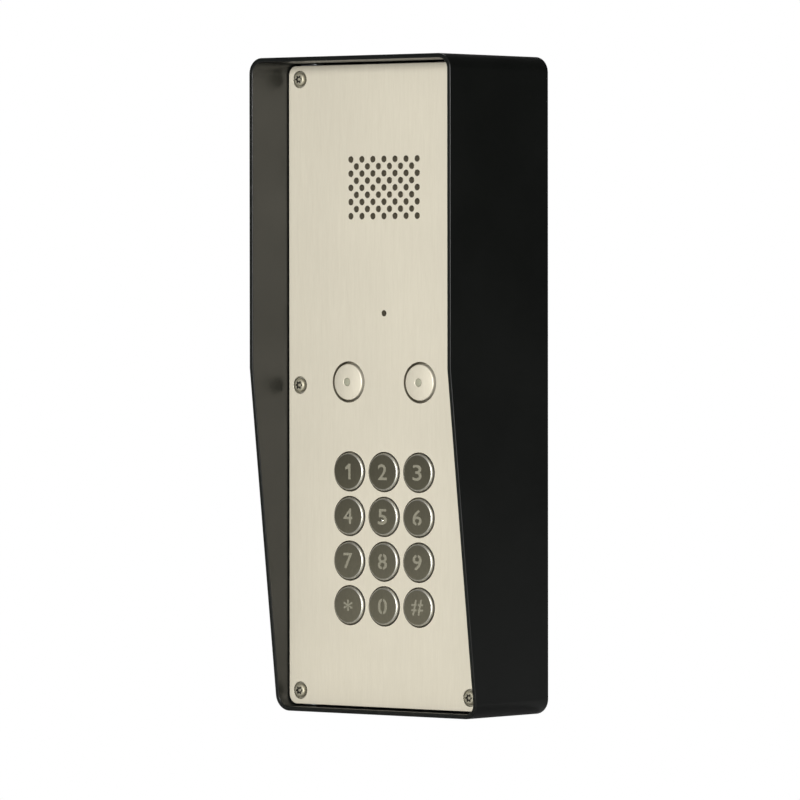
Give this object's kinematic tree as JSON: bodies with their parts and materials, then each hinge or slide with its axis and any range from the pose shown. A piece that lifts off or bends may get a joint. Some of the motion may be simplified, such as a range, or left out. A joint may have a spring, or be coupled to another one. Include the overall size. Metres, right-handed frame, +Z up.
{
  "type": "door intercom panel",
  "caption": "Surface-mounted door intercom panel: black hooded housing, recessed brushed faceplate, speaker grille, microphone, call buttons and keypad.",
  "frame": {"origin": "centre of the rear face, on the wall", "axes": "+X right as seen by the caller, +Y into the wall, +Z up; the front faces -Y"},
  "size_m": [0.116, 0.0705, 0.295],
  "materials": {
    "black_powder_coat": "satin powder coat",
    "brushed_stainless": "vertical brushed grain",
    "screw_steel": "bright machined stainless",
    "zinc_steel": "bright zinc plate",
    "key_face": "gloss gunmetal lacquer with grey numerals and a bright bevelled rim",
    "light_pipe": "frosted light pipe",
    "black_rubber": "matt",
    "grey_silicone": "matt silicone",
    "black_plastic": "moulded, fine texture",
    "circuit_board": "solder mask over glass laminate",
    "terminal_green": "moulded",
    "cone_paper": "pressed paper",
    "ferrite": "sintered, matt",
    "mesh_cloth": "fine woven acoustic cloth",
    "wire_grey": "PVC insulation"
  },
  "bodies": {
    "panel": {"back_plate": "black_powder_coat", "board_screw_bottom_left": "screw_steel", "board_screw_bottom_right": "screw_steel", "board_screw_top_left": "screw_steel", "board_screw_top_right": "screw_steel", "board_standoff_bottom_left": "screw_steel", "board_standoff_bottom_right": "screw_steel", "board_standoff_top_left": "screw_steel", "board_standoff_top_right": "screw_steel", "cable_grommet": "black_rubber", "call_spring_left": "zinc_steel", "call_spring_right": "zinc_steel", "call_switch_lead": "wire_grey", "call_switch_left": "black_plastic", "call_switch_right": "black_plastic", "door_relay": "black_plastic", "faceplate": "brushed_stainless", "faceplate_gasket": "black_rubber", "faceplate_screw_bottom_left": "screw_steel", "faceplate_screw_bottom_right": "screw_steel", "faceplate_screw_middle_left": "screw_steel", "faceplate_screw_middle_right": "screw_steel", "faceplate_screw_top_left": "screw_steel", "faceplate_screw_top_right": "screw_steel", "fixing_rail_left": "zinc_steel", "fixing_rail_right": "zinc_steel", "hood": "black_powder_coat", "keypad_board": "circuit_board", "keypad_frame": "black_plastic", "keypad_mat": "grey_silicone", "keypad_ribbon": "wire_grey", "main_board": "circuit_board", "microphone": "screw_steel", "microphone_boot": "black_rubber", "microphone_lead": "wire_grey", "processor_shield": "zinc_steel", "speaker_clamp": "zinc_steel", "speaker_cone": "cone_paper", "speaker_frame": "zinc_steel", "speaker_gasket": "black_rubber", "speaker_lead": "wire_grey", "speaker_magnet": "ferrite", "speaker_mesh": "mesh_cloth", "terminal_block": "terminal_green"},
    "key_1": {"key_1": "key_face"},
    "key_2": {"key_2": "key_face"},
    "key_3": {"key_3": "key_face"},
    "key_4": {"key_4": "key_face"},
    "key_5": {"key_5": "key_face"},
    "key_6": {"key_6": "key_face"},
    "key_7": {"key_7": "key_face"},
    "key_8": {"key_8": "key_face"},
    "key_9": {"key_9": "key_face"},
    "key_star": {"key_star": "key_face"},
    "key_0": {"key_0": "key_face"},
    "key_hash": {"key_hash": "key_face"},
    "call_button_left": {"call_button_left": "brushed_stainless", "call_lens_left": "light_pipe"},
    "call_button_right": {"call_button_right": "brushed_stainless", "call_lens_right": "light_pipe"}
  },
  "joints": [
    {"name": "key_1_press", "type": "slide", "parent": "panel", "child": "key_1", "axis": [0, 1, 0], "range_m": [0, 0.001], "stiffness_N_per_m": 1200, "springref_m": -0.0008, "deforming": ["keypad_mat"]},
    {"name": "key_2_press", "type": "slide", "parent": "panel", "child": "key_2", "axis": [0, 1, 0], "range_m": [0, 0.001], "stiffness_N_per_m": 1200, "springref_m": -0.0008, "deforming": ["keypad_mat"]},
    {"name": "key_3_press", "type": "slide", "parent": "panel", "child": "key_3", "axis": [0, 1, 0], "range_m": [0, 0.001], "stiffness_N_per_m": 1200, "springref_m": -0.0008, "deforming": ["keypad_mat"]},
    {"name": "key_4_press", "type": "slide", "parent": "panel", "child": "key_4", "axis": [0, 1, 0], "range_m": [0, 0.001], "stiffness_N_per_m": 1200, "springref_m": -0.0008, "deforming": ["keypad_mat"]},
    {"name": "key_5_press", "type": "slide", "parent": "panel", "child": "key_5", "axis": [0, 1, 0], "range_m": [0, 0.001], "stiffness_N_per_m": 1200, "springref_m": -0.0008, "deforming": ["keypad_mat"]},
    {"name": "key_6_press", "type": "slide", "parent": "panel", "child": "key_6", "axis": [0, 1, 0], "range_m": [0, 0.001], "stiffness_N_per_m": 1200, "springref_m": -0.0008, "deforming": ["keypad_mat"]},
    {"name": "key_7_press", "type": "slide", "parent": "panel", "child": "key_7", "axis": [0, 1, 0], "range_m": [0, 0.001], "stiffness_N_per_m": 1200, "springref_m": -0.0008, "deforming": ["keypad_mat"]},
    {"name": "key_8_press", "type": "slide", "parent": "panel", "child": "key_8", "axis": [0, 1, 0], "range_m": [0, 0.001], "stiffness_N_per_m": 1200, "springref_m": -0.0008, "deforming": ["keypad_mat"]},
    {"name": "key_9_press", "type": "slide", "parent": "panel", "child": "key_9", "axis": [0, 1, 0], "range_m": [0, 0.001], "stiffness_N_per_m": 1200, "springref_m": -0.0008, "deforming": ["keypad_mat"]},
    {"name": "key_star_press", "type": "slide", "parent": "panel", "child": "key_star", "axis": [0, 1, 0], "range_m": [0, 0.001], "stiffness_N_per_m": 1200, "springref_m": -0.0008, "deforming": ["keypad_mat"]},
    {"name": "key_0_press", "type": "slide", "parent": "panel", "child": "key_0", "axis": [0, 1, 0], "range_m": [0, 0.001], "stiffness_N_per_m": 1200, "springref_m": -0.0008, "deforming": ["keypad_mat"]},
    {"name": "key_hash_press", "type": "slide", "parent": "panel", "child": "key_hash", "axis": [0, 1, 0], "range_m": [0, 0.001], "stiffness_N_per_m": 1200, "springref_m": -0.0008, "deforming": ["keypad_mat"]},
    {"name": "call_button_left_press", "type": "slide", "parent": "panel", "child": "call_button_left", "axis": [0, 1, 0], "range_m": [0, 0.0015], "stiffness_N_per_m": 900, "springref_m": -0.0015, "deforming": ["call_spring_left"]},
    {"name": "call_button_right_press", "type": "slide", "parent": "panel", "child": "call_button_right", "axis": [0, 1, 0], "range_m": [0, 0.0015], "stiffness_N_per_m": 900, "springref_m": -0.0015, "deforming": ["call_spring_right"]}
  ]
}
